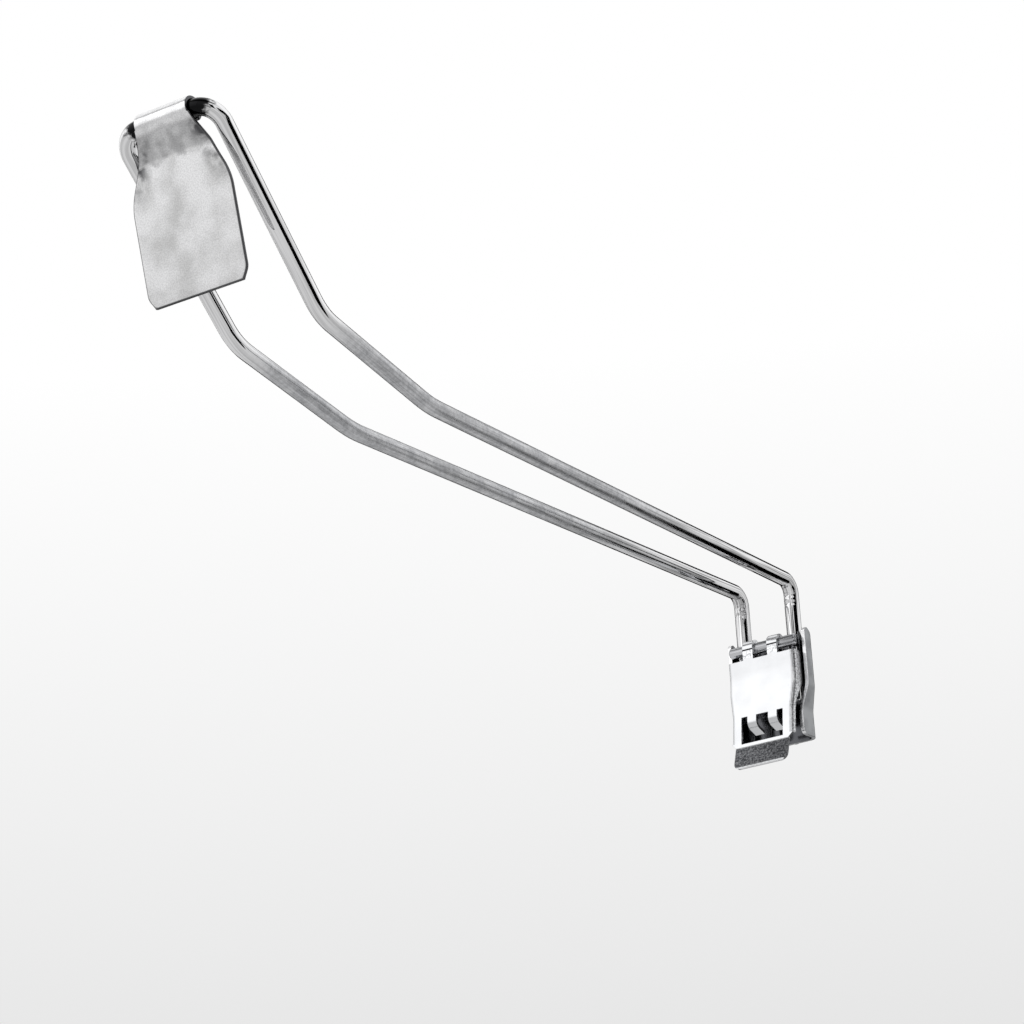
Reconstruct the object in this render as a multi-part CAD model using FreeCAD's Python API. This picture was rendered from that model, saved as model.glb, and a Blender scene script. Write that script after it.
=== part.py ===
"""Pegboard hook: wire loop on a hinged sheet clip, with a swinging label plate.

The board's face is the plane Y = 0, the hook reaches out along -Y, and Z is up.
The origin lies midway between the two board holes that the clip hangs in.
Depths are distances out from the board's face.
"""
import FreeCAD, Part
import math
import os

Vector = FreeCAD.Vector

# Board that the clip hangs on
hole_pitch = 25.0
board_thickness = 4.0

# Wire arm
wire_diameter = 4.8
leg_spacing = 18.4
leg_overlap = 20.5
arm_rise = 19.5
bar_spacing = 31.4
run_length = 201.0
mid_length = 50.0
end_length = 63.0
mid_angle = 12.5
end_angle = 46.0
root_radius = 4.4
mid_radius = 40.0
end_radius = 16.0
corner_radius = 6.2

# Wall bracket
bracket_sheet = 1.2
bracket_bend = 2.0
plate_margin_top = 3.0
plate_margin_bottom = 4.5
wall_gap = 0.5
wall_depth = 9.0
wall_round = 2.0
ear_rise = 4.2
ear_depth = 6.0
ear_flare = 0.4
ear_round = 1.4
ear_sweep = 20.0

# Prong and peg behind the bracket, each with a square neck in the back plate and a round head
prong_diameter = 4.0
prong_rise = 8.0
prong_bend = 4.0
peg_length = 9.0
tip_chamfer = 0.6
neck_width = 4.4
neck_clearance = 0.05
head_diameter = 7.4
head_height = 1.0
head_round = 0.7

# Cross rod that the cover turns on
pin_diameter = 3.6
pin_overhang = 0.3
pin_drop = 1.1
pin_chamfer = 0.3

# Clip cover
cover_sheet = 1.0
cover_bend = 0.4
cover_drop = 3.9
cover_gap = 0.4
fold_drop = 1.5
side_step = 1.0
step_drop = 11.0
step_height = 8.0
step_radius = 8.0
lean_angle = 8.5
lean_drop = 6.5
lean_radius = 30.0
flange_gap = 0.3
flange_low_depth = 2.0
flange_drop = 9.5
flange_height = 7.0
flange_radius = 4.0
knuckle_width = 3.7
knuckle_gap = 0.5
knuckle_wrap = 250.0
knuckle_clearance = 0.05
window_side = 3.6
window_strip = 1.0
window_height = 9.0
tongue_width = 3.2
tongue_length = 3.6
finger_reach = 5.0
finger_drop = 1.8
finger_radius = 1.6
tab_inset = 1.6
tab_length = 8.0
tab_angle = 19.0
tab_radius = 2.0
tab_round = 2.2

# Label plate
label_sheet = 1.0
label_width = 32.8
label_length = 46.7
label_end_gap = 0.8
label_slide = 0.5
label_neck_flare = 5.0
label_neck_length = 13.0
label_crease = 8.5
label_fold = 23.0
label_fold_radius = 4.0
label_tilt = 36.0
label_shoulder = 5.5
label_shoulder_round = 6.0
label_corner = 2.2
label_corner_round = 2.0
label_wrap = 262.0
label_clearance = 0.06

# Heights that follow from the sizes above
plate_top = hole_pitch / 2 + plate_margin_top
plate_bottom = -hole_pitch / 2 - plate_margin_bottom
arm_height = plate_top + arm_rise
leg_end_height = plate_top - leg_overlap
ear_top = plate_top + ear_rise
pin_height = plate_top - pin_drop
cover_top = pin_height - cover_drop
cover_fold = plate_bottom - fold_drop
flange_bottom = cover_fold + tab_inset
step_top = cover_top - step_drop
step_bottom = step_top - step_height
lean_top = cover_top - lean_drop
flange_step_top = cover_top - flange_drop
flange_step_bottom = flange_step_top - flange_height
window_bottom = cover_fold + window_strip
window_top = window_bottom + window_height

# Depths and half widths that follow from the sizes above
wire_radius = wire_diameter / 2
pin_radius = pin_diameter / 2
leg_depth = bracket_sheet + wire_radius
leg_front = leg_depth + wire_radius
pin_depth = leg_front + pin_radius
pin_length = leg_spacing + wire_diameter + 2 * pin_overhang
knuckle_inner = pin_radius + knuckle_clearance
knuckle_centre = leg_spacing / 2 - wire_radius - knuckle_gap - knuckle_width / 2
cover_front = pin_depth + knuckle_inner + cover_sheet
flange_rear = leg_front + flange_gap
cover_top_half = leg_spacing / 2 + wire_radius + wall_gap
cover_low_half = cover_top_half - side_step
wall_top_half = cover_top_half + cover_gap + ear_flare
wall_low_half = cover_low_half + cover_gap
window_half = cover_low_half - window_side
tab_half = cover_low_half - tab_inset
label_inner = wire_radius + label_clearance
label_neck_half = bar_spacing / 2 - corner_radius - label_end_gap


def corner_arc(before, corner, after, radius):
    """Start, middle and end of the arc that rounds a corner between two straight lines."""
    back = (before - corner).normalize()
    ahead = (after - corner).normalize()
    half = back.getAngle(ahead) / 2
    trim = radius / math.tan(half)
    middle = (back + ahead).normalize() * (radius / math.sin(half) - radius)
    return corner + back * trim, corner + middle, corner + ahead * trim


def rounded_path(points, radii):
    """Wire through the points, with a tangent arc of the given radius at each inner one."""
    edges = []
    start = points[0]
    for before, corner, after, radius in zip(points, points[1:], points[2:], radii):
        arc_start, middle, arc_end = corner_arc(before, corner, after, radius)
        edges.append(Part.LineSegment(start, arc_start).toShape())
        edges.append(Part.Arc(arc_start, middle, arc_end).toShape())
        start = arc_end
    edges.append(Part.LineSegment(start, points[-1]).toShape())
    return Part.Wire(edges)


def round_rod(path, diameter):
    """Round rod swept along a wire."""
    first = path.OrderedEdges[0]
    direction = first.tangentAt(first.FirstParameter)
    begin = first.valueAt(first.FirstParameter)
    section = Part.Wire(Part.Circle(begin, direction, diameter / 2).toShape())
    return path.makePipeShell([section], True, True)


def closed_face(points, radii):
    """Plane face with the given corners, each rounded by its radius, 0 for a sharp one."""
    corners = []
    for index, corner in enumerate(points):
        after = points[(index + 1) % len(points)]
        if radii[index] == 0:
            corners.append((corner, None, corner))
        else:
            corners.append(corner_arc(points[index - 1], corner, after, radii[index]))
    edges = []
    for index, (arc_start, middle, arc_end) in enumerate(corners):
        if middle is not None:
            edges.append(Part.Arc(arc_start, middle, arc_end).toShape())
        next_start = corners[(index + 1) % len(corners)][0]
        edges.append(Part.LineSegment(arc_end, next_start).toShape())
    return Part.Face(Part.Wire(edges))


def front_outline(points, radii, depth):
    """Slab whose outline, in X and Z, is given, from the board's face out to the depth."""
    corners = [Vector(x, 0, z) for x, z in points]
    return closed_face(corners, radii).extrude(Vector(0, -depth, 0))


def side_outline(points, radii, half_width):
    """Slab whose outline, in depth and Z, is given, to both sides of X = 0."""
    corners = [Vector(-half_width, -depth, z) for depth, z in points]
    return closed_face(corners, radii).extrude(Vector(2 * half_width, 0, 0))


def folded_sheet(points, radii, thickness, half_width):
    """Sheet to both sides of X = 0, whose front face folds along points in depth and Z."""
    front = [Vector(-half_width, -depth, z) for depth, z in points]
    runs = [(after - before).normalize() for before, after in zip(front, front[1:])]
    normals = [Vector(0, -run.z, run.y) for run in runs]
    rear = []
    for corner, before, after in zip(front, normals[:1] + normals, normals + normals[-1:]):
        mitre = (before + after).normalize()
        rear.append(corner + mitre * (thickness / mitre.dot(after)))
    rear_radii = []
    for before, after, radius in zip(runs, runs[1:], radii):
        folds_back = before.cross(after).x > 0
        rear_radii.append(radius - thickness if folds_back else radius + thickness)
    edges = rounded_path(front, radii).Edges
    edges += rounded_path(rear, rear_radii).Edges
    edges.append(Part.LineSegment(front[-1], rear[-1]).toShape())
    edges.append(Part.LineSegment(front[0], rear[0]).toShape())
    profile = Part.Face(Part.Wire(Part.sortEdges(edges)[0]))
    return profile.extrude(Vector(2 * half_width, 0, 0))


def curl(axis_depth, axis_height, inner, thickness, wrap, centre, half_width):
    """Sheet rolled round an axis along X, from the front over the top by the wrap angle."""

    def on_circle(radius, angle):
        turn = math.radians(angle)
        depth = axis_depth + radius * math.cos(turn)
        return Vector(centre - half_width, -depth, axis_height + radius * math.sin(turn))

    outer = inner + thickness
    half = wrap / 2
    edges = [
        Part.Arc(on_circle(outer, 0), on_circle(outer, half), on_circle(outer, wrap)).toShape(),
        Part.LineSegment(on_circle(outer, wrap), on_circle(inner, wrap)).toShape(),
        Part.Arc(on_circle(inner, wrap), on_circle(inner, half), on_circle(inner, 0)).toShape(),
        Part.LineSegment(on_circle(inner, 0), on_circle(outer, 0)).toShape(),
    ]
    return Part.Face(Part.Wire(edges)).extrude(Vector(2 * half_width, 0, 0))


def box(x_low, x_high, depth_low, depth_high, z_low, z_high):
    """Box between two depths."""
    corner = Vector(x_low, -depth_high, z_low)
    return Part.makeBox(x_high - x_low, depth_high - depth_low, z_high - z_low, corner)


def mirrored(right, radii):
    """Outline that is the given right-hand points, top to bottom, and their mirror image."""
    left = [(-x, z) for x, z in reversed(right)]
    return right + left, radii + list(reversed(radii))


def stepped_sides(top_half, low_half, top, bottom):
    """Outline, in X and Z, of a strip that steps in from its top width to its lower one."""
    right = [(top_half, top), (top_half, step_top), (low_half, step_bottom), (low_half, bottom)]
    return mirrored(right, [0, step_radius, step_radius, 0])


def side_edges(shape, depth_low, depth_high, half_width):
    """Edges between two depths that run down either side, further out than the half width."""
    found = []
    for edge in shape.Edges:
        bounds = edge.BoundBox
        inside = -bounds.YMax > depth_low - 0.01 and -bounds.YMin < depth_high + 0.01
        at_side = min(abs(bounds.XMin), abs(bounds.XMax)) > half_width
        if inside and at_side and bounds.ZLength > 0.1:
            found.append(edge)
    return found


def make_wire_arm():
    """Two legs, two level arms that spread, an upturned end, and the front bar."""
    side = [
        (leg_depth, leg_end_height, 0),
        (leg_depth, arm_height, 0),
        (leg_depth + run_length, arm_height, run_length),
    ]
    depth, height, along = side[-1]
    for length, angle in ((mid_length, mid_angle), (end_length, end_angle)):
        depth += length * math.cos(math.radians(angle))
        height += length * math.sin(math.radians(angle))
        along += length
        side.append((depth, height, along))
    spread = (bar_spacing - leg_spacing) / 2 / along
    right = [Vector(leg_spacing / 2 + spread * s, -d, z) for d, z, s in side]
    left = [Vector(-p.x, p.y, p.z) for p in reversed(right)]
    bends = [root_radius, mid_radius, end_radius, corner_radius]
    path = rounded_path(right + left, bends + list(reversed(bends)))
    return round_rod(path, wire_diameter), Vector(0, right[-1].y, right[-1].z)


def make_hinge_pin():
    """Straight rod welded across the front of the two legs."""
    start = Vector(-pin_length / 2, -pin_depth, pin_height)
    rod = Part.makeCylinder(pin_radius, pin_length, start, Vector(1, 0, 0))
    ends = [e for e in rod.Edges if e.BoundBox.XLength < 0.01]
    return rod.makeChamfer(pin_chamfer, ends)


def make_wall_bracket():
    """Back plate with two side walls, folded from one sheet, and ears that flare outwards."""
    outer = stepped_sides(
        wall_top_half + bracket_sheet, wall_low_half + bracket_sheet, ear_top, plate_bottom
    )
    inner = stepped_sides(wall_top_half, wall_low_half, ear_top, plate_bottom)
    hollow = front_outline(*inner, wall_depth)
    hollow.translate(Vector(0, -bracket_sheet, 0))
    channel = front_outline(*outer, wall_depth).cut(hollow)
    outer_bends = side_edges(channel, 0, 0, wall_low_half)
    channel = channel.makeFillet(bracket_bend + bracket_sheet, outer_bends)
    inner_bends = side_edges(channel, bracket_sheet, bracket_sheet, leg_spacing / 2)
    channel = channel.makeFillet(bracket_bend, inner_bends)
    sides = side_outline(
        [
            (0, plate_bottom),
            (wall_depth, plate_bottom),
            (wall_depth, step_bottom),
            (ear_depth, step_top),
            (ear_depth, ear_top),
            (0, plate_top),
        ],
        [0, wall_round, ear_sweep, ear_sweep, ear_round, 0],
        wall_top_half + 2 * bracket_sheet,
    )
    bracket = channel.common(sides)
    hole = neck_width / 2 + neck_clearance
    for height in (hole_pitch / 2, -hole_pitch / 2):
        bracket = bracket.cut(box(-hole, hole, 0, bracket_sheet, height - hole, height + hole))
    return bracket


def headed_neck(height):
    """Square neck that stands in a hole of the back plate, with a round head on the plate's front."""
    half = neck_width / 2
    neck = box(-half, half, 0, bracket_sheet, height - half, height + half)
    start = Vector(0, -bracket_sheet, height)
    head = Part.makeCylinder(head_diameter / 2, head_height, start, Vector(0, -1, 0))
    rim = [e for e in head.Edges if e.BoundBox.YMax < -bracket_sheet - head_height + 0.01]
    return neck.fuse(head.makeFillet(head_round, rim))


def make_upper_prong():
    """Round prong that goes through the upper hole and turns up behind the board."""
    height = hole_pitch / 2
    back = board_thickness + prong_diameter / 2
    corners = [
        Vector(0, 0, height),
        Vector(0, back, height),
        Vector(0, back, height + prong_rise),
    ]
    prong = round_rod(rounded_path(corners, [prong_bend]), prong_diameter)
    tip = [e for e in prong.Edges if e.BoundBox.ZMin > height + prong_rise - 0.01]
    return prong.makeChamfer(tip_chamfer, tip).fuse(headed_neck(height))


def make_lower_peg():
    """Straight round peg that stands in the lower hole."""
    height = -hole_pitch / 2
    peg = Part.makeCylinder(prong_diameter / 2, peg_length, Vector(0, 0, height), Vector(0, 1, 0))
    tip = [e for e in peg.Edges if e.BoundBox.YMin > peg_length - 0.01]
    return peg.makeChamfer(tip_chamfer, tip).fuse(headed_neck(height))


def face_depth(height):
    """Depth of the cover's front face, upright at the top and leaning out below its bend."""
    return cover_front + max(lean_top - height, 0) * math.tan(math.radians(lean_angle))


def cover_block(inset, rear_profile, bend):
    """Solid behind the cover's face and between its flanges, moved in by the inset."""
    front = cover_front - inset
    slope = math.radians(lean_angle)
    bend_top = lean_top - inset * math.tan(slope / 2)
    low_front = front + (bend_top - flange_bottom) * math.tan(slope)
    low_half = cover_low_half - inset
    plan = stepped_sides(cover_top_half - inset, low_half, cover_top, flange_bottom)
    profile = [(front, cover_top), (front, bend_top), (low_front, flange_bottom)]
    radii = [0, lean_radius + inset, 0]
    rear_radii = [0] + [flange_radius] * (len(rear_profile) - 2) + [0]
    sides = side_outline(profile + rear_profile, radii + rear_radii, cover_top_half)
    block = front_outline(*plan, low_front).common(sides)
    return block.makeFillet(bend, side_edges(block, front, low_front, low_half - cover_sheet))


def make_clip_cover():
    """Cover folded from one sheet: knuckles, flanges, window with tongues, and thumb tab."""
    flange_rear_line = [
        (face_depth(flange_bottom) - flange_low_depth, flange_bottom),
        (face_depth(flange_step_bottom) - flange_low_depth, flange_step_bottom),
        (flange_rear, flange_step_top),
        (flange_rear, cover_top),
    ]
    outside = cover_block(0, flange_rear_line, cover_sheet + cover_bend)
    inside = cover_block(cover_sheet, [(0, flange_bottom), (0, cover_top)], cover_bend)
    pan = outside.cut(inside)

    turn = math.radians(tab_angle)
    fold_depth = face_depth(cover_fold)
    tab_depth = fold_depth + tab_length * math.sin(turn)
    tab_bottom = cover_fold - tab_length * math.cos(turn)
    tab_start = flange_bottom + cover_sheet
    tab_line = [(face_depth(tab_start), tab_start), (fold_depth, cover_fold), (tab_depth, tab_bottom)]
    tab_sheet = folded_sheet(tab_line, [tab_radius], cover_sheet, cover_low_half)
    tab_edge = [(cover_low_half, flange_bottom), (tab_half, cover_fold), (tab_half, tab_bottom)]
    tab = tab_sheet.common(front_outline(*mirrored(tab_edge, [0, 0, tab_round]), tab_depth + cover_sheet))
    cover = pan.fuse(tab)
    cover = cover.cut(box(-window_half, window_half, 0, tab_depth, window_bottom, window_top))

    tongue_start = window_top + cover_sheet
    tongue_end = window_top - tongue_length
    tongue_depth = face_depth(tongue_end)
    tongue_line = [
        (face_depth(tongue_start), tongue_start),
        (tongue_depth, tongue_end),
        (tongue_depth - finger_reach, tongue_end - finger_drop),
    ]
    tongue = folded_sheet(tongue_line, [finger_radius + cover_sheet], cover_sheet, tongue_width / 2)
    added = []
    for side in (-1, 1):
        added.append(tongue.translated(Vector(side * window_half / 2, 0, 0)))
        added.append(make_knuckle(side * knuckle_centre))
    return cover.fuse(added).removeSplitter()


def make_knuckle(centre):
    """Strap that rises from the cover's top edge and rolls round the cross rod."""
    half = knuckle_width / 2
    strap = box(centre - half, centre + half, cover_front - cover_sheet, cover_front, cover_top, pin_height)
    roll = curl(pin_depth, pin_height, knuckle_inner, cover_sheet, knuckle_wrap, centre, half)
    return strap.fuse(roll)


def make_label_plate(bar):
    """Plate curled over the front bar, folded below it, tilted back and slid along the bar."""
    fold = math.radians(label_fold)

    def height(along):
        """Height of a point this far down the sheet, while its neck is still upright."""
        past_crease = max(along - label_crease, 0)
        return bar.z - along + past_crease * (1 - math.cos(fold))

    front = -bar.y + label_inner + label_sheet
    bottom_front = front + (label_length - label_crease) * math.sin(fold)
    fold_line = [(front, bar.z), (front, height(label_crease)), (bottom_front, height(label_length))]
    half = label_width / 2
    sheet = folded_sheet(fold_line, [label_fold_radius], label_sheet, half)
    edge = [
        (label_neck_half, bar.z),
        (label_neck_half + label_neck_flare, height(label_neck_length)),
        (half, height(label_neck_length + label_shoulder)),
        (half, height(label_length - label_corner)),
        (half - label_corner, height(label_length)),
    ]
    rounds = [0, label_shoulder_round, label_shoulder_round, label_corner_round, label_corner_round]
    plate = sheet.common(front_outline(*mirrored(edge, rounds), bottom_front))
    roll = curl(-bar.y, bar.z, label_inner, label_sheet, label_wrap, 0, label_neck_half)
    plate = plate.fuse(roll).removeSplitter()
    plate.rotate(bar, Vector(1, 0, 0), label_tilt)
    return plate.translated(Vector(label_slide, 0, 0))


os.makedirs("parts", exist_ok=True)
wire_arm, front_bar = make_wire_arm()
pieces = {
    "wall_bracket": make_wall_bracket(),
    "upper_prong": make_upper_prong(),
    "lower_peg": make_lower_peg(),
    "wire_arm": wire_arm,
    "hinge_pin": make_hinge_pin(),
    "clip_cover": make_clip_cover(),
    "label_plate": make_label_plate(front_bar),
}
for name, shape in pieces.items():
    solid = shape.Solids[0]
    solid.exportStep("parts/" + name + ".step")
    print(name, "solids", len(shape.Solids), "valid", solid.isValid(), "volume", round(solid.Volume, 1))
print("front bar axis: depth", round(-front_bar.y, 3), "height", round(front_bar.z, 3))
print("cross rod axis: depth", round(pin_depth, 3), "height", round(pin_height, 3))
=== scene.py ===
import bpy
import numpy as np
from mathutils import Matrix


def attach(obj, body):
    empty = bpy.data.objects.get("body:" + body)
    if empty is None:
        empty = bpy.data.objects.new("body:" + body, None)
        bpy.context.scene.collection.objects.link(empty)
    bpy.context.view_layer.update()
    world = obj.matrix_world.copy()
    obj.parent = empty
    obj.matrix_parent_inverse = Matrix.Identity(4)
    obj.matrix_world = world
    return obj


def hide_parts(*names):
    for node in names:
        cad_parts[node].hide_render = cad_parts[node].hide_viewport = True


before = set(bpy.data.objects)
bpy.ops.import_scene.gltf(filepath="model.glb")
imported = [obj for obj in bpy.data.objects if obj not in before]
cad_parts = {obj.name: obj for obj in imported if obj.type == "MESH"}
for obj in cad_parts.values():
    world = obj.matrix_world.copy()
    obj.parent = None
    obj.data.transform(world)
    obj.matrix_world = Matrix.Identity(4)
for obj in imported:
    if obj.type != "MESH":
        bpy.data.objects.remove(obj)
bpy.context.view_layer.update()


# Wall bracket: back plate and two side walls with ears, folded from one strip of 1.2 mm steel,
# pierced square for the prong and the peg, and bright zinc plated after folding.
mm = 0.001
edge_break = 0.2 * mm


def linear(hex_colour):
    """Linear RGBA of an sRGB colour written as #rrggbb, by the sRGB transfer curve."""
    srgb = np.array([int(hex_colour[k:k + 2], 16) for k in (1, 3, 5)]) / 255
    light = np.where(srgb > 0.04045, ((srgb + 0.055) / 1.055) ** 2.4, srgb / 12.92)
    return (*light.tolist(), 1.0)


def add_node(tree, kind, inputs, output=0, **settings):
    """Adds a node with its settings and gives back one of its outputs, by name or number.
    Each input, by name or number, is a value or the output it links from."""
    made = tree.nodes.new(kind)
    for name, value in settings.items():
        setattr(made, name, value)
    for name, value in inputs.items():
        if isinstance(value, bpy.types.NodeSocket):
            tree.links.new(value, made.inputs[name])
        else:
            made.inputs[name].default_value = value
    return made.outputs[output] if made.outputs else None


def new_material(name):
    """Empty material and its node tree."""
    material = bpy.data.materials.new(name)
    material.use_nodes = True
    material.node_tree.nodes.clear()
    return material, material.node_tree


def bright_zinc(name, colour, dull_colour, smooth, rough, cloud_size, stretch=1.0, edge_highlight_share=0.0):
    """Bright zinc on steel: a soft mirror, clouded where the plating is dull, with a fine plating grain
    and edges that the barrel has broken to a small radius. Inside the clip's box the tone is painted dark
    as painted shade, and front edges get a painted highlight. Clouds may be stretched along X to draw lines
    on a rod."""
    material, tree = new_material(name)
    place = add_node(tree, "ShaderNodeTexCoord", {}, output="Object")
    normal = add_node(tree, "ShaderNodeTexCoord", {}, output="Normal")
    x = add_node(tree, "ShaderNodeSeparateXYZ", {"Vector": place}, output="X")
    y = add_node(tree, "ShaderNodeSeparateXYZ", {"Vector": place}, output="Y")
    z = add_node(tree, "ShaderNodeSeparateXYZ", {"Vector": place}, output="Z")
    facing_x = add_node(tree, "ShaderNodeSeparateXYZ", {"Vector": normal}, output="X")
    facing_y = add_node(tree, "ShaderNodeSeparateXYZ", {"Vector": normal}, output="Y")

    # Painted shade: the inner faces of the walls and the plate's front, inside the clip's box, are painted
    # dark grey.
    inward = add_node(tree, "ShaderNodeMath", {0: x, 1: facing_x}, operation="MULTIPLY")
    on_inner_side = add_node(
        tree, "ShaderNodeMapRange", {"Value": inward, "From Min": -1 * mm, "From Max": -6 * mm}
    )
    under_pin = add_node(tree, "ShaderNodeMapRange", {"Value": z, "From Min": 9 * mm, "From Max": 4 * mm})
    behind_cover = add_node(
        tree, "ShaderNodeMapRange", {"Value": y, "From Min": -7 * mm, "From Max": -4 * mm}
    )
    in_box = add_node(tree, "ShaderNodeMath", {0: behind_cover, 1: under_pin}, operation="MULTIPLY")
    wall_shade = add_node(tree, "ShaderNodeMath", {0: on_inner_side, 1: in_box}, operation="MULTIPLY")
    forward = add_node(tree, "ShaderNodeMapRange", {"Value": facing_y, "From Min": -0.3, "From Max": -0.7})
    deep = add_node(tree, "ShaderNodeMapRange", {"Value": y, "From Min": -3.2 * mm, "From Max": -2.6 * mm})
    plate_shade = add_node(tree, "ShaderNodeMath", {0: forward, 1: deep}, operation="MULTIPLY")
    box_shade = add_node(tree, "ShaderNodeMath", {0: wall_shade, 1: plate_shade}, operation="MAXIMUM")
    # Painted highlight: forward faces in front of the plate are painted near white, scaled by the last
    # argument, and made a little rougher.
    in_front = add_node(tree, "ShaderNodeMath", {0: forward, 1: deep}, operation="SUBTRACT", use_clamp=True)
    edge_highlight = add_node(tree, "ShaderNodeMath", {0: in_front, 1: edge_highlight_share}, operation="MULTIPLY")

    drawn = add_node(tree, "ShaderNodeVectorMath", {0: place, 1: (1 / stretch, 1, 1)}, operation="MULTIPLY")
    cloud = add_node(tree, "ShaderNodeTexNoise", {"Vector": drawn, "Scale": 1 / cloud_size, "Detail": 3.0})
    dull = add_node(tree, "ShaderNodeMapRange", {"Value": cloud, "From Min": 0.42, "From Max": 0.68})
    clouded = add_node(
        tree, "ShaderNodeMix", {"Factor": dull, 6: linear(colour), 7: linear(dull_colour)},
        output=2, data_type="RGBA",
    )
    highlighted_tone = add_node(
        tree, "ShaderNodeMix", {"Factor": edge_highlight, 6: clouded, 7: linear("#f4f4f5")},
        output=2, data_type="RGBA",
    )
    tone = add_node(
        tree, "ShaderNodeMix", {"Factor": box_shade, 6: highlighted_tone, 7: linear("#56575a")},
        output=2, data_type="RGBA",
    )
    dulled = add_node(tree, "ShaderNodeMath", {0: edge_highlight, 1: 0.35, 2: dull}, operation="MULTIPLY_ADD")
    shine = add_node(
        tree, "ShaderNodeMapRange", {"Value": dulled, "To Min": smooth, "To Max": rough}, clamp=False
    )
    edge = add_node(tree, "ShaderNodeBevel", {"Radius": edge_break}, samples=6)
    grain = add_node(tree, "ShaderNodeTexNoise", {"Vector": place, "Scale": 1 / (0.5 * mm), "Detail": 2.0})
    bump = add_node(
        tree, "ShaderNodeBump", {"Height": grain, "Normal": edge, "Strength": 0.1, "Distance": 0.02 * mm}
    )
    metal = add_node(
        tree, "ShaderNodeBsdfPrincipled",
        {"Base Color": tone, "Metallic": 1.0, "Roughness": shine, "Normal": bump},
    )
    add_node(tree, "ShaderNodeOutputMaterial", {"Surface": metal})
    return material


def dress(node_name, material):
    """Gives a CAD node its material."""
    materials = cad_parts[node_name].data.materials
    materials.clear()
    materials.append(material)


dress(
    "wall_bracket",
    bright_zinc("bright_zinc_bracket", "#989a9c", "#747578", 0.12, 0.28, cloud_size=7 * mm, edge_highlight_share=1.0),
)


# Prong and peg: short lengths of 4 mm wire with square necks, headed over on the plate's front
# and plated with it. The hook hangs on them, and they hardly show from the front.
rod_zinc = bright_zinc("bright_zinc_rod", "#d4d5d8", "#a9abaf", 0.08, 0.22, cloud_size=5 * mm)
dress("upper_prong", rod_zinc)
dress("lower_peg", rod_zinc)


# Wire arm: one length of 4.8 mm drawn steel wire, bent cold to legs, arms, uprights and front bar,
# with die marks pinched in under the root bends. The legs are welded to the back plate.
wire_radius = 2.4 * mm
leg_spacing, bar_spacing = 18.4 * mm, 31.4 * mm
leg_depth, leg_end, arm_height = 3.6 * mm, -5.0 * mm, 35.0 * mm
run_lengths = np.array([201, 50, 63]) * mm
run_rises = np.radians([0, 12.5, 46])
root_bend, mid_bend, end_bend, corner_bend = np.array([4.4, 40, 16, 6.2]) * mm
die_marks, die_mark_depth, die_mark_length = np.array([32.3, 34.8]) * mm, 0.3 * mm, 0.5 * mm
ring_points, ring_step, bend_step = 40, 0.5 * mm, np.radians(3)
left_half_shift = 100 * mm

# Corner points of the right half: the leg, then three runs, each at its rise, while the half spacing
# grows evenly with the length reached. The left half is its mirror image.
runs = np.column_stack([np.cos(run_rises), np.sin(run_rises), np.ones(3)]) * run_lengths[:, None]
arm_points = np.array([leg_depth, arm_height, 0]) + np.vstack([np.zeros(3), np.cumsum(runs, axis=0)])
depth, height, reached = np.vstack([[leg_depth, leg_end, 0], arm_points]).T
half_spacing = leg_spacing / 2 + (bar_spacing - leg_spacing) / 2 * reached / reached[-1]
right_points = np.column_stack([half_spacing, -depth, height])
wire_points = np.vstack([right_points, right_points[::-1] * [-1, 1, 1]])
right_bends = [root_bend, mid_bend, end_bend, corner_bend]
wire_bends = np.array(right_bends + right_bends[::-1])


def turned(vector, axis, angles):
    """Copies of a vector turned about a unit axis by each angle, by Rodrigues' formula."""
    c, s = np.cos(angles)[:, None], np.sin(angles)[:, None]
    return vector * c + np.cross(axis, vector) * s + axis * (axis @ vector) * (1 - c)


def bent_wire_line(points, radii, straight_step, arc_step):
    """Centre line through the points with a tangent arc at each inner one, and two cross directions that
    are carried along it without twist: each straight run ends at radius times tan of half the bend angle
    before its point, and the arc turns the last cross directions about the bend's axis."""
    ways = np.diff(points, axis=0)
    ways /= np.linalg.norm(ways, axis=1)[:, None]
    cross = np.cross(ways[0], [1.0, 0, 0])
    start = points[0]
    rows = []
    for index, way in enumerate(ways):
        end = points[index + 1]
        bends = index < len(radii)
        if bends:
            axis = np.cross(way, ways[index + 1])
            bend = np.arctan2(np.linalg.norm(axis), way @ ways[index + 1])
            axis /= np.linalg.norm(axis)
            end = end - way * radii[index] * np.tan(bend / 2)
        count = max(int(np.ceil(np.linalg.norm(end - start) / straight_step)), 1)
        straight = start + (end - start) * np.linspace(0, 1, count + 1)[:, None]
        every = np.ones((count + 1, 1))
        rows.append(np.hstack([straight, cross * every, np.cross(way, cross) * every]))
        if bends:
            angles = np.linspace(0, bend, int(np.ceil(bend / arc_step)) + 1)[1:]
            inward = np.cross(axis, way)
            centre = end + inward * radii[index]
            arc = centre + turned(-inward, axis, angles) * radii[index]
            arc_cross = turned(cross, axis, angles)
            arc_second = turned(np.cross(way, cross), axis, angles)
            rows.append(np.hstack([arc, arc_cross, arc_second])[:-1])
            start, cross = arc[-1], arc_cross[-1]
    return np.hsplit(np.vstack(rows), 3)


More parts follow.
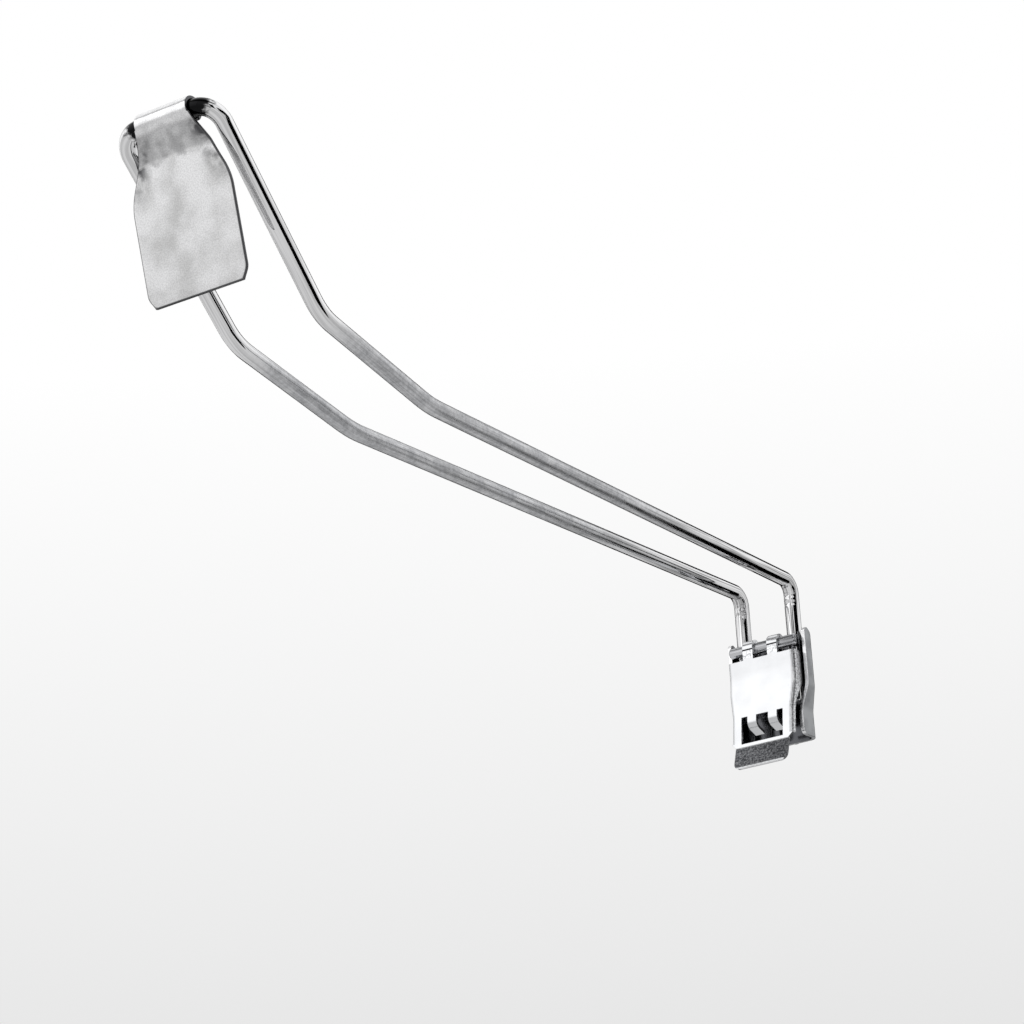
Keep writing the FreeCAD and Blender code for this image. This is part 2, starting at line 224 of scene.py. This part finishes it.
def grid_mesh(name, rings, coordinates):
    """Closed tube through a grid of rings, with flat end caps; UV is given at ring and column, in metres,
    with one column more than the ring has points, so that the pattern closes without a jump."""
    count, around = rings.shape[:2]
    ring, column = np.meshgrid(np.arange(count - 1), np.arange(around), indexing="ij")
    low, high = ring * around, (ring + 1) * around
    after = (column + 1) % around
    faces = np.stack([low + column, low + after, high + after, high + column], -1).reshape(-1, 4)
    caps = [np.arange(around)[::-1].tolist(), ((count - 1) * around + np.arange(around)).tolist()]
    mesh = bpy.data.meshes.new(name)
    mesh.from_pydata(rings.reshape(-1, 3).tolist(), [], faces.tolist() + caps)
    corner_uv = [
        coordinates[ring, column], coordinates[ring, column + 1],
        coordinates[ring + 1, column + 1], coordinates[ring + 1, column],
    ]
    side_uv = np.stack(corner_uv, 2).reshape(-1, 2)
    cap_uv = np.vstack([coordinates[0, :around][::-1], coordinates[-1, :around]])
    mesh.uv_layers.new(name="metres").data.foreach_set("uv", np.vstack([side_uv, cap_uv]).ravel())
    mesh.polygons.foreach_set("use_smooth", np.arange(len(faces) + 2) < len(faces))
    mesh.update()
    return mesh


def add_piece(name, mesh, material, body, node_name):
    """Shows a mesh in place of a CAD node, on the body it moves with."""
    piece = bpy.data.objects.new(name, mesh)
    bpy.context.scene.collection.objects.link(piece)
    mesh.materials.append(material)
    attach(piece, body)
    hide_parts(node_name)


def drawn_wire_zinc(half_length):
    """Drawn zinc-plated wire: mirror-like on the legs and uprights, where nothing rubs; scuffed grey with
    lengthwise draw lines along the arms, where goods slide; with painted shade, near black, beside the
    label's curl, reaching further on the right. UV runs along the wire from its nearer end and round it, with
    the left half shifted. Draw lines of 0.1 mm are drawn 0.5 mm wide to show."""
    material, tree = new_material("drawn_zinc_wire")
    metres = add_node(tree, "ShaderNodeUVMap", {}, uv_map="metres")
    reach = add_node(tree, "ShaderNodeSeparateXYZ", {"Vector": metres}, output="X")
    around = add_node(tree, "ShaderNodeSeparateXYZ", {"Vector": metres}, output="Y")
    arm_start = add_node(
        tree, "ShaderNodeMapRange", {"Value": reach, "From Min": 70 * mm, "From Max": 150 * mm},
        interpolation_type="SMOOTHSTEP",
    )
    arm_end = add_node(
        tree, "ShaderNodeMapRange",
        {"Value": reach, "From Min": 268 * mm, "From Max": 292 * mm, "To Min": 1.0, "To Max": 0.0},
        interpolation_type="SMOOTHSTEP",
    )
    on_arm = add_node(tree, "ShaderNodeMath", {0: arm_start, 1: arm_end}, operation="MULTIPLY")
    blotch = add_node(
        tree, "ShaderNodeTexNoise", {"Vector": metres, "Scale": 1 / (6 * mm), "Detail": 3.0},
        noise_dimensions="2D",
    )
    rubbed = add_node(
        tree, "ShaderNodeMapRange",
        {"Value": blotch, "From Min": 0.3, "From Max": 0.7, "To Min": 0.6, "To Max": 1.0},
    )
    wear = add_node(tree, "ShaderNodeMath", {0: on_arm, 1: rubbed}, operation="MULTIPLY")

    stretched = add_node(
        tree, "ShaderNodeVectorMath", {0: metres, 1: (1 / (30 * mm), 1 / (0.5 * mm), 0)}, operation="MULTIPLY"
    )
    draw_lines = add_node(
        tree, "ShaderNodeTexNoise", {"Vector": stretched, "Scale": 1.0, "Detail": 3.0}, noise_dimensions="2D"
    )
    lined = add_node(
        tree, "ShaderNodeMapRange",
        {"Value": draw_lines, "From Min": 0.38, "From Max": 0.58, "To Min": 0.3, "To Max": 1.0},
    )
    line_share = add_node(
        tree, "ShaderNodeMapRange",
        {"Value": reach, "From Min": 60 * mm, "From Max": 170 * mm, "To Min": 0.9, "To Max": 0.35},
    )
    worn_tone = add_node(
        tree, "ShaderNodeMix", {"Factor": wear, 6: linear("#f4f4f5"), 7: linear("#c6c7ca")},
        output=2, data_type="RGBA",
    )
    lined_tone = add_node(
        tree, "ShaderNodeMix", {"Factor": line_share, 6: worn_tone, 7: lined},
        output=2, data_type="RGBA", blend_type="MULTIPLY",
    )
    fleck = add_node(
        tree, "ShaderNodeTexNoise", {"Vector": metres, "Scale": 1 / (1.2 * mm), "Detail": 3.0},
        noise_dimensions="2D",
    )
    flecked = add_node(
        tree, "ShaderNodeMapRange",
        {"Value": fleck, "From Min": 0.35, "From Max": 0.65, "To Min": 0.78, "To Max": 1.02},
    )
    scuffed_tone = add_node(
        tree, "ShaderNodeMix", {"Factor": wear, 6: lined_tone, 7: flecked},
        output=2, data_type="RGBA", blend_type="MULTIPLY",
    )
    # Painted shade: the wire next to the label's curl is painted near black, with a ragged end, reaching
    # further on the right half.
    right_more = add_node(
        tree, "ShaderNodeMapRange",
        {
            "Value": around, "From Min": left_half_shift - 60 * mm, "From Max": left_half_shift - 40 * mm,
            "To Min": 1.5 * mm, "To Max": -1 * mm,
        },
    )
    shade_reach = add_node(tree, "ShaderNodeMath", {0: reach, 1: right_more}, operation="ADD")
    ragged_shade_reach = add_node(
        tree, "ShaderNodeMath", {0: fleck, 1: 4 * mm, 2: shade_reach}, operation="MULTIPLY_ADD"
    )
    painted_shade_mark = add_node(
        tree, "ShaderNodeMapRange",
        {"Value": ragged_shade_reach, "From Min": half_length - 11.5 * mm, "From Max": half_length - 9.5 * mm},
        interpolation_type="SMOOTHSTEP",
    )
    tone = add_node(
        tree, "ShaderNodeMix", {"Factor": painted_shade_mark, 6: scuffed_tone, 7: linear("#1c1c1d")},
        output=2, data_type="RGBA",
    )
    shine = add_node(tree, "ShaderNodeMapRange", {"Value": wear, "To Min": 0.05, "To Max": 0.36})
    bump = add_node(tree, "ShaderNodeBump", {"Height": draw_lines, "Strength": 0.12, "Distance": 0.03 * mm})
    metal = add_node(
        tree, "ShaderNodeBsdfPrincipled",
        {"Base Color": tone, "Metallic": 1.0, "Roughness": shine, "Normal": bump},
    )
    add_node(tree, "ShaderNodeOutputMaterial", {"Surface": metal})
    return material


# Rings round the centre line: the radius times cosine and sine of the turn along the two cross directions,
# less on the front side at the die marks.
wire_line, wire_cross, wire_second = bent_wire_line(wire_points, wire_bends, ring_step, bend_step)
along = np.concatenate([[0], np.cumsum(np.linalg.norm(np.diff(wire_line, axis=0), axis=1))])
half_length = along[-1] / 2
from_end = np.minimum(along, along[-1] - along)
turn = np.linspace(0, 2 * np.pi, ring_points + 1)
radial = np.cos(turn[:-1, None]) * wire_cross[:, None] + np.sin(turn[:-1, None]) * wire_second[:, None]
pinch = np.exp(-(((from_end[:, None] - die_marks) / die_mark_length) ** 2)).sum(axis=1)
front_side = np.clip(-radial[:, :, 1], 0, 1) ** 2
ring_radius = wire_radius - die_mark_depth * pinch[:, None] * front_side
wire_rings = wire_line[:, None] + radial * ring_radius[:, :, None]
girth = np.where(along < half_length, 0.0, left_half_shift)[:, None] + turn * wire_radius
wire_uv = np.stack([np.broadcast_to(from_end[:, None], girth.shape), girth], -1)
wire_mesh = grid_mesh("bent_wire", wire_rings, wire_uv)
add_piece("bent_wire", wire_mesh, drawn_wire_zinc(half_length), "hook", "wire_arm")


# Hinge pin: a straight 3.6 mm drawn steel rod, cut, chamfered and plated, welded across the front
# of the two legs. It shows the rod's draw lines.
dress(
    "hinge_pin",
    bright_zinc("drawn_zinc_pin", "#dcdde0", "#6e6f71", 0.10, 0.22, cloud_size=0.9 * mm, stretch=30.0),
)


# Clip cover: one 1 mm steel sheet, blanked, curled to two knuckles round the pin, folded to side flanges,
# with two tongues curled back in its window, and bent out to a thumb tab.
# The knuckles' foot, and the height and half width of a painted dark line across the knuckles, a painted dark
# reflection.
knuckle_foot, dark_line_height, dark_line_half_width = 11.0 * mm, 13.8 * mm, 0.25 * mm
tab_fold_height, tab_lip_height = -18.7 * mm, -25.5 * mm
tab_half_width = 11 * mm


def worked_cover_zinc():
    """Bright zinc on pressed sheet: faintly clouded on the face; scored on the flanges and on the knuckles
    below a painted dark line, a painted dark reflection; grainy on the tab, painted dark there as a painted
    dark reflection and darker towards +X, with a bright lip."""
    material, tree = new_material("bright_zinc_cover")
    place = add_node(tree, "ShaderNodeTexCoord", {}, output="Object")
    normal = add_node(tree, "ShaderNodeTexCoord", {}, output="Normal")
    x = add_node(tree, "ShaderNodeSeparateXYZ", {"Vector": place}, output="X")
    z = add_node(tree, "ShaderNodeSeparateXYZ", {"Vector": place}, output="Z")
    facing_x = add_node(tree, "ShaderNodeSeparateXYZ", {"Vector": normal}, output="X")
    facing_z = add_node(tree, "ShaderNodeSeparateXYZ", {"Vector": normal}, output="Z")

    sideways = add_node(tree, "ShaderNodeMath", {0: facing_x}, operation="ABSOLUTE")
    on_flange = add_node(tree, "ShaderNodeMapRange", {"Value": sideways, "From Min": 0.5, "From Max": 0.85})
    on_tab = add_node(
        tree, "ShaderNodeMapRange",
        {"Value": z, "From Min": tab_fold_height + 0.3 * mm, "From Max": tab_fold_height - 0.3 * mm},
    )
    above_lip = add_node(
        tree, "ShaderNodeMapRange",
        {"Value": z, "From Min": tab_lip_height - 0.2 * mm, "From Max": tab_lip_height + 0.2 * mm},
    )
    off_edge = add_node(tree, "ShaderNodeMapRange", {"Value": facing_z, "From Min": -0.7, "From Max": -0.4})
    off_lip = add_node(tree, "ShaderNodeMath", {0: above_lip, 1: off_edge}, operation="MULTIPLY")
    on_tab_face = add_node(tree, "ShaderNodeMath", {0: on_tab, 1: off_lip}, operation="MULTIPLY")
    worked = add_node(tree, "ShaderNodeMath", {0: on_flange, 1: on_tab_face}, operation="MAXIMUM")

    speckle = add_node(
        tree, "ShaderNodeTexNoise",
        {"Vector": place, "Scale": 1 / (0.55 * mm), "Detail": 2.0, "Roughness": 0.6},
    )
    score = add_node(tree, "ShaderNodeMapRange", {"Value": speckle, "From Min": 0.36, "From Max": 0.56})
    flange_tone = add_node(
        tree, "ShaderNodeMix", {"Factor": score, 6: linear("#77787a"), 7: linear("#eeeff1")},
        output=2, data_type="RGBA",
    )
    # Painted dark reflection on the tab: its grain is the sheet's own, its dark greys stand for the dark it
    # reflects, and it is darker towards +X.
    pits = add_node(tree, "ShaderNodeMapRange", {"Value": speckle, "From Min": 0.4, "From Max": 0.66})
    grainy_tone = add_node(
        tree, "ShaderNodeMix", {"Factor": pits, 6: linear("#434447"), 7: linear("#949598")},
        output=2, data_type="RGBA",
    )
    darker_to_right = add_node(
        tree, "ShaderNodeMapRange",
        {"Value": x, "From Min": -tab_half_width, "From Max": tab_half_width, "To Min": 1.1, "To Max": 0.75},
    )
    tab_tone = add_node(
        tree, "ShaderNodeMix", {"Factor": 1.0, 6: grainy_tone, 7: darker_to_right},
        output=2, data_type="RGBA", blend_type="MULTIPLY",
    )
    worked_tone = add_node(
        tree, "ShaderNodeMix", {"Factor": on_tab_face, 6: flange_tone, 7: tab_tone},
        output=2, data_type="RGBA",
    )

    cloud = add_node(tree, "ShaderNodeTexNoise", {"Vector": place, "Scale": 1 / (7 * mm), "Detail": 3.0})
    dull = add_node(tree, "ShaderNodeMapRange", {"Value": cloud, "From Min": 0.4, "From Max": 0.7})
    face_tone = add_node(
        tree, "ShaderNodeMix", {"Factor": dull, 6: linear("#dfe0e2"), 7: linear("#d8d9db")},
        output=2, data_type="RGBA",
    )
    on_knuckle = add_node(
        tree, "ShaderNodeMapRange",
        {"Value": z, "From Min": knuckle_foot - 0.4 * mm, "From Max": knuckle_foot + 0.4 * mm},
    )
    under_line = add_node(
        tree, "ShaderNodeMapRange",
        {"Value": z, "From Min": dark_line_height, "From Max": dark_line_height - 0.4 * mm},
    )
    dragged = add_node(tree, "ShaderNodeMath", {0: on_knuckle, 1: under_line}, operation="MULTIPLY")
    drag_tone = add_node(
        tree, "ShaderNodeMix", {"Factor": score, 6: linear("#a8a9ab"), 7: linear("#f0f1f3")},
        output=2, data_type="RGBA",
    )
    curled_tone = add_node(
        tree, "ShaderNodeMix", {"Factor": dragged, 6: face_tone, 7: drag_tone}, output=2, data_type="RGBA"
    )
    # Painted dark reflection: a thin dark line painted across the knuckles.
    painted_dark_line = add_node(
        tree, "ShaderNodeMath", {0: z, 1: dark_line_height, 2: dark_line_half_width}, operation="COMPARE"
    )
    dark_lined_tone = add_node(
        tree, "ShaderNodeMix", {"Factor": painted_dark_line, 6: curled_tone, 7: linear("#2c2c2e")},
        output=2, data_type="RGBA",
    )

    tone = add_node(
        tree, "ShaderNodeMix", {"Factor": worked, 6: dark_lined_tone, 7: worked_tone}, output=2, data_type="RGBA"
    )
    shine = add_node(tree, "ShaderNodeMapRange", {"Value": worked, "To Min": 0.16, "To Max": 0.34})
    edge = add_node(tree, "ShaderNodeBevel", {"Radius": edge_break}, samples=6)
    relief = add_node(tree, "ShaderNodeMath", {0: speckle, 1: worked}, operation="MULTIPLY")
    bump = add_node(
        tree, "ShaderNodeBump", {"Height": relief, "Normal": edge, "Strength": 0.5, "Distance": 0.08 * mm}
    )
    metal = add_node(
        tree, "ShaderNodeBsdfPrincipled",
        {"Base Color": tone, "Metallic": 1.0, "Roughness": shine, "Normal": bump},
    )
    add_node(tree, "ShaderNodeOutputMaterial", {"Surface": metal})
    return material


dress("clip_cover", worked_cover_zinc())


# Label plate: one 1 mm steel sheet, blanked, curled loosely over the front bar, creased below it and
# hung plain, so that it swings. Its section is drawn at the bar, then hung at its tilt.
bar_depth, bar_height = 297.178 * mm, 91.14 * mm
sheet, curl_inside, curl_wrap = 1.0 * mm, 2.46 * mm, np.radians(262)
crease_drop, fold_angle, fold_radius = 8.5 * mm, np.radians(23), 4.5 * mm
label_length, label_slide, label_tilt = 46.7 * mm, 0.5 * mm, np.radians(36)
curl_half, neck_half, body_half, foot_half = np.array([8.7, 13.7, 16.4, 14.2]) * mm
neck_end, shoulder_end, chamfer_start = 13 * mm, 18.5 * mm, 44.5 * mm
shoulder_blend, corner_blend, corner_start = 3.6 * mm, 1.6 * mm, 40 * mm
rim_round, rim_points, face_points = 0.3 * mm, 8, 33
curl_points, neck_points, fold_points, body_points, blend_points = 60, 10, 10, 110, 21
front_shift, back_shift, rim_shift = 0 * mm, 100 * mm, 200 * mm

# Section of the sheet's middle: curl arc, straight neck, fold arc and straight body, each as the distance
# out from the bar, the distance up, the slope and the fall along the sheet from the curl's foot.
curl_middle = curl_inside + sheet / 2
mitre_gain = sheet / 2 * np.tan(fold_angle / 2)
mitre_drop = crease_drop + mitre_gain
fold_reach = fold_radius * np.tan(fold_angle / 2)
curl = np.linspace(curl_wrap, 0, curl_points)
neck = np.linspace(0, mitre_drop - fold_reach, neck_points)[1:]
swing = np.linspace(0, fold_angle, fold_points)[1:]
body = np.linspace(fold_reach, label_length - crease_drop + mitre_gain, body_points)[1:]
section_out = np.concatenate([
    curl_middle * np.cos(curl), curl_middle + 0 * neck,
    curl_middle + fold_radius * (1 - np.cos(swing)), curl_middle + body * np.sin(fold_angle),
])
section_up = np.concatenate([
    curl_middle * np.sin(curl), -neck,
    fold_reach - mitre_drop - fold_radius * np.sin(swing), -mitre_drop - body * np.cos(fold_angle),
])
section_slope = np.concatenate([curl, 0 * neck, swing, fold_angle + 0 * body])
fall = np.concatenate([
    -curl_middle * curl, neck, mitre_drop - fold_reach + fold_radius * swing, mitre_drop + body,
])

# The half width runs straight between stations; a moving mean along the fall rounds its corners.
beyond = 30 * mm
stations = [-beyond, 0, neck_end, shoulder_end, chamfer_start, label_length, label_length + beyond]
station_halves = [curl_half, curl_half, neck_half, body_half, body_half, foot_half, foot_half]
blend_reach = np.where(fall > corner_start, corner_blend, shoulder_blend)
blend = blend_reach[:, None] * np.linspace(-1, 1, blend_points)
half_width = np.interp(fall[:, None] + blend, stations, station_halves).mean(axis=1)
half_width[fall < 0] = curl_half

# The sheet's outline across the width: front face, rounded rim, back face, rounded rim.
quarter = np.linspace(0, np.pi / 2, rim_points // 2 + 1)
flat_half = sheet / 2 - rim_round
rim_x = rim_round * np.concatenate([np.sin(quarter[1:]), np.cos(quarter[:-1])])
rim_n = np.concatenate([
    flat_half + rim_round * np.cos(quarter[1:]), -flat_half - rim_round * np.sin(quarter[:-1]),
])
face_share, face, rim = np.linspace(-1, 1, face_points), np.ones(face_points), np.ones(rim_points)
outline_share = np.concatenate([face_share, rim, -face_share, -rim])
outline_x = np.concatenate([0 * face, rim_x, 0 * face, -rim_x])
outline_n = np.concatenate([sheet / 2 * face, rim_n, -sheet / 2 * face, -rim_n])
outline_shift = np.concatenate([front_shift * face, rim_shift * rim, back_shift * face, rim_shift * rim])

label_x = outline_share * (half_width - rim_round)[:, None] + outline_x
label_out = section_out[:, None] + outline_n * np.cos(section_slope)[:, None]
label_up = section_up[:, None] + outline_n * np.sin(section_slope)[:, None]
hung_depth = bar_depth + label_out * np.cos(label_tilt) + label_up * np.sin(label_tilt)
hung_height = bar_height - label_out * np.sin(label_tilt) + label_up * np.cos(label_tilt)
label_rings = np.stack([label_x + label_slide, -hung_depth, hung_height], -1)
label_uv = np.stack([label_x + outline_shift, np.broadcast_to(fall[:, None], label_x.shape)], -1)
label_uv = np.concatenate([label_uv, label_uv[:, :1]], axis=1)
edge_gap = np.minimum(half_width[:, None] - np.abs(label_x), (fall[-1] - fall)[:, None])
edge_gap = np.where((fall < 2 * mm)[:, None], 5 * mm, edge_gap)


def satin_label_zinc():
    """Satin zinc on sheet: clouded by the plating bath, with a painted highlight on the curl, where it is
    also smoother, greyer on the neck with a ragged border, with painted shade in spots near the edge at the
    shoulders, frosted all over, and dark on the blanked rim. Speckle of 0.1 mm is drawn at 0.4 mm to show. UV
    runs across and down the sheet, and to_edge is the distance from its rim."""
    material, tree = new_material("satin_zinc_label")
    metres = add_node(tree, "ShaderNodeUVMap", {}, uv_map="metres")
    to_edge = add_node(tree, "ShaderNodeAttribute", {}, output="Fac", attribute_name="to_edge")
    across = add_node(tree, "ShaderNodeSeparateXYZ", {"Vector": metres}, output="X")
    down = add_node(tree, "ShaderNodeSeparateXYZ", {"Vector": metres}, output="Y")
    cloud = add_node(
        tree, "ShaderNodeTexNoise", {"Vector": metres, "Scale": 1 / (9 * mm), "Detail": 4.0},
        noise_dimensions="2D",
    )
    patches = add_node(
        tree, "ShaderNodeTexNoise", {"Vector": metres, "Scale": 1 / (4 * mm), "Detail": 5.0},
        noise_dimensions="2D",
    )
    grain = add_node(
        tree, "ShaderNodeTexNoise", {"Vector": metres, "Scale": 1 / (1.0 * mm), "Detail": 2.0},
        noise_dimensions="2D",
    )
    speckle = add_node(
        tree, "ShaderNodeTexNoise", {"Vector": metres, "Scale": 1 / (0.4 * mm), "Detail": 1.0},
        noise_dimensions="2D",
    )

    dull = add_node(tree, "ShaderNodeMapRange", {"Value": cloud, "From Min": 0.35, "From Max": 0.7})
    body_tone = add_node(
        tree, "ShaderNodeMix", {"Factor": dull, 6: linear("#e7e7e8"), 7: linear("#cecece")},
        output=2, data_type="RGBA",
    )
    # Painted highlight: the curl is painted near white and made smoother.
    curl_highlight = add_node(
        tree, "ShaderNodeMapRange", {"Value": down, "From Min": 2.4 * mm, "From Max": 1.4 * mm},
        interpolation_type="SMOOTHSTEP",
    )
    curl_highlight_tone = add_node(
        tree, "ShaderNodeMix", {"Factor": curl_highlight, 6: body_tone, 7: linear("#fafafb")},
        output=2, data_type="RGBA",
    )

    ragged = add_node(tree, "ShaderNodeMath", {0: patches, 1: 8 * mm, 2: down}, operation="MULTIPLY_ADD")
    above_border = add_node(
        tree, "ShaderNodeMapRange",
        {"Value": ragged, "From Min": 11.8 * mm, "From Max": 14.2 * mm, "To Min": 1.0, "To Max": 0.0},
        interpolation_type="SMOOTHSTEP",
    )
    below_curl = add_node(
        tree, "ShaderNodeMapRange", {"Value": down, "From Min": 0.4 * mm, "From Max": 2.4 * mm},
        interpolation_type="SMOOTHSTEP",
    )
    on_neck = add_node(tree, "ShaderNodeMath", {0: above_border, 1: below_curl}, operation="MULTIPLY")
    mottled = add_node(tree, "ShaderNodeMapRange", {"Value": patches, "From Min": 0.3, "From Max": 0.6})
    neck_grey = add_node(
        tree, "ShaderNodeMix", {"Factor": mottled, 6: linear("#bababb"), 7: linear("#d8d8d9")},
        output=2, data_type="RGBA",
    )
    neck_tone = add_node(
        tree, "ShaderNodeMix", {"Factor": on_neck, 6: curl_highlight_tone, 7: neck_grey}, output=2, data_type="RGBA"
    )

    near_edge = add_node(
        tree, "ShaderNodeMapRange", {"Value": to_edge, "From Min": 6 * mm, "From Max": 1 * mm}
    )
    # Painted shade: spots near the edge at the shoulders are painted dark grey.
    at_shoulder = add_node(
        tree, "ShaderNodeMapRange", {"Value": down, "From Min": 21 * mm, "From Max": 12 * mm}
    )
    shoulder_shade = add_node(tree, "ShaderNodeMath", {0: near_edge, 1: at_shoulder}, operation="MULTIPLY")
    spotted = add_node(tree, "ShaderNodeMapRange", {"Value": patches, "From Min": 0.4, "From Max": 0.64})
    shoulder_shade_spots = add_node(tree, "ShaderNodeMath", {0: shoulder_shade, 1: spotted}, operation="MULTIPLY")
    shoulder_shaded_tone = add_node(
        tree, "ShaderNodeMix", {"Factor": shoulder_shade_spots, 6: neck_tone, 7: linear("#58585a")},
        output=2, data_type="RGBA",
    )

    frost = add_node(
        tree, "ShaderNodeMapRange",
        {"Value": speckle, "From Min": 0.3, "From Max": 0.7, "To Min": 0.86, "To Max": 1.06},
    )
    frosted_tone = add_node(
        tree, "ShaderNodeMix", {"Factor": 1.0, 6: shoulder_shaded_tone, 7: frost},
        output=2, data_type="RGBA", blend_type="MULTIPLY",
    )
    on_rim = add_node(
        tree, "ShaderNodeMapRange",
        {"Value": across, "From Min": rim_shift - 60 * mm, "From Max": rim_shift - 40 * mm},
    )
    rolled = add_node(
        tree, "ShaderNodeMapRange", {"Value": to_edge, "From Min": 0.5 * mm, "From Max": 0.2 * mm},
        interpolation_type="SMOOTHSTEP",
    )
    blanked = add_node(tree, "ShaderNodeMath", {0: on_rim, 1: rolled}, operation="MAXIMUM")
    tone = add_node(
        tree, "ShaderNodeMix", {"Factor": blanked, 6: frosted_tone, 7: linear("#5e5e60")},
        output=2, data_type="RGBA",
    )
    satin = add_node(
        tree, "ShaderNodeMapRange",
        {"Value": cloud, "From Min": 0.3, "From Max": 0.7, "To Min": 0.34, "To Max": 0.46},
    )
    shine = add_node(tree, "ShaderNodeMath", {0: curl_highlight, 1: -0.2, 2: satin}, operation="MULTIPLY_ADD")
    bump = add_node(tree, "ShaderNodeBump", {"Height": grain, "Strength": 0.15, "Distance": 0.04 * mm})
    metal = add_node(
        tree, "ShaderNodeBsdfPrincipled",
        {"Base Color": tone, "Metallic": 1.0, "Roughness": shine, "Normal": bump},
    )
    add_node(tree, "ShaderNodeOutputMaterial", {"Surface": metal})
    return material


label_mesh = grid_mesh("swing_label", label_rings, label_uv)
label_mesh.attributes.new("to_edge", "FLOAT", "POINT").data.foreach_set("value", edge_gap.ravel())
add_piece("swing_label", label_mesh, satin_label_zinc(), "label", "label_plate")


# Stage: a pale floor far below the hook, a pale surround, one soft lamp, and dark flags at the side,
# in front and behind that only reflections see, which give the bright metal its dark lines.
floor_height = -0.6
hook_middle = np.array([0, -0.15, 0.04])
lamp_azimuth, lamp_elevation, lamp_distance = -31, 24, 1.3
camera_place = (0.5057, -0.9092, -0.3071)
camera_turn = np.radians([109.873, 3.228, 34.735])
camera_lens = 119.65
scene = bpy.context.scene


def stage_plane(name, size, centre, facing, material):
    """Rectangle of the given size about a centre, square to the facing direction."""
    normal = np.array(facing, float) / np.linalg.norm(facing)
    across = np.cross([0, 0, 1.0] if abs(normal[2]) < 0.9 else [0, 1.0, 0], normal)
    across /= np.linalg.norm(across)
    up = np.cross(normal, across)
    signs = np.array([[-1, -1], [1, -1], [1, 1], [-1, 1]]) / 2
    points = np.array(centre) + signs[:, :1] * size[0] * across + signs[:, 1:] * size[1] * up
    mesh = bpy.data.meshes.new(name)
    mesh.from_pydata(points.tolist(), [], [(0, 1, 2, 3)])
    mesh.materials.append(material)
    plane = bpy.data.objects.new(name, mesh)
    scene.collection.objects.link(plane)
    return plane


def matt(name, colour):
    """Matt paint or cloth of one colour, without shine."""
    material, tree = new_material(name)
    surface = add_node(
        tree, "ShaderNodeBsdfPrincipled",
        {"Base Color": linear(colour), "Roughness": 0.9, "Specular IOR Level": 0.0},
    )
    add_node(tree, "ShaderNodeOutputMaterial", {"Surface": surface})
    return material


def sight(azimuth, elevation):
    """Unit vector at an azimuth, from the front towards the right, and an elevation."""
    a, e = np.radians(azimuth), np.radians(elevation)
    return np.array([np.sin(a) * np.cos(e), -np.cos(a) * np.cos(e), np.sin(e)])


stage_plane("floor", (12, 12), (0, 0, floor_height), (0, 0, 1), matt("pale_floor_paint", "#e6e6e6"))
flag_cloth = matt("black_flag_cloth", "#050505")
for flag_name, flag_size, azimuth, elevation, distance in (
    ("flag_right", (0.7, 1.0), 92, -14, 1.2),
    ("flag_behind", (0.5, 0.4), 165, -24, 1.0),
    ("flag_front", (0.22, 0.4), 30, 20, 1.0),
    ("flag_right_high", (1.1, 0.36), 80, 20, 1.0),
    ("flag_far_behind", (1.3, 1.1), -150, 14, 1.0),
):
    towards = sight(azimuth, elevation)
    flag = stage_plane(flag_name, flag_size, hook_middle + distance * towards, -towards, flag_cloth)
    flag.visible_camera = False
    flag.visible_shadow = False
    flag.visible_diffuse = False

softbox = bpy.data.lights.new("softbox", "AREA")
softbox.shape = "RECTANGLE"
softbox.size = 0.9
softbox.size_y = 0.9
softbox.energy = 0.95
softbox_object = bpy.data.objects.new("softbox", softbox)
softbox_object.location = lamp_distance * sight(lamp_azimuth, lamp_elevation)
softbox_object.rotation_euler = np.radians([90 - lamp_elevation, 0, lamp_azimuth])
scene.collection.objects.link(softbox_object)

world = bpy.data.worlds.new("pale_surround")
scene.world = world
world.use_nodes = True
sky = world.node_tree
sky.nodes.clear()
direction = add_node(sky, "ShaderNodeTexCoord", {}, output="Generated")
ahead = add_node(sky, "ShaderNodeSeparateXYZ", {"Vector": direction}, output="Y")
rise = add_node(sky, "ShaderNodeSeparateXYZ", {"Vector": direction}, output="Z")
wall_level = add_node(
    sky, "ShaderNodeMapRange",
    {"Value": rise, "From Min": 0.12, "From Max": 0.38, "To Min": 0.72, "To Max": 1.0},
)
overhead = add_node(sky, "ShaderNodeMapRange", {"Value": rise, "From Min": 0.68, "From Max": 0.8})
in_front = add_node(sky, "ShaderNodeMapRange", {"Value": ahead, "From Min": -0.15, "From Max": -0.3})
dark_ceiling = add_node(sky, "ShaderNodeMath", {0: overhead, 1: in_front}, operation="MULTIPLY")
seen_level = add_node(sky, "ShaderNodeMix", {"Factor": dark_ceiling, 2: wall_level, 3: 0.12})
seen = add_node(sky, "ShaderNodeBackground", {"Color": seen_level, "Strength": 1.0})
filling = add_node(sky, "ShaderNodeBackground", {"Color": linear("#ffffff"), "Strength": 0.8})
camera_ray = add_node(sky, "ShaderNodeLightPath", {}, output="Is Camera Ray")
glossy_ray = add_node(sky, "ShaderNodeLightPath", {}, output="Is Glossy Ray")
transmission_ray = add_node(sky, "ShaderNodeLightPath", {}, output="Is Transmission Ray")
sharp_ray = add_node(sky, "ShaderNodeMath", {0: camera_ray, 1: glossy_ray}, operation="MAXIMUM")
seen_ray = add_node(sky, "ShaderNodeMath", {0: sharp_ray, 1: transmission_ray}, operation="MAXIMUM")
surround = add_node(sky, "ShaderNodeMixShader", {"Fac": seen_ray, 1: filling, 2: seen})
add_node(sky, "ShaderNodeOutputWorld", {"Surface": surround})

scene.view_settings.view_transform = "Standard"
camera = bpy.data.cameras.new("camera")
camera.sensor_width = 36.0
camera.lens = camera_lens
camera_object = bpy.data.objects.new("camera", camera)
camera_object.location = camera_place
camera_object.rotation_euler = camera_turn
scene.collection.objects.link(camera_object)
scene.camera = camera_object
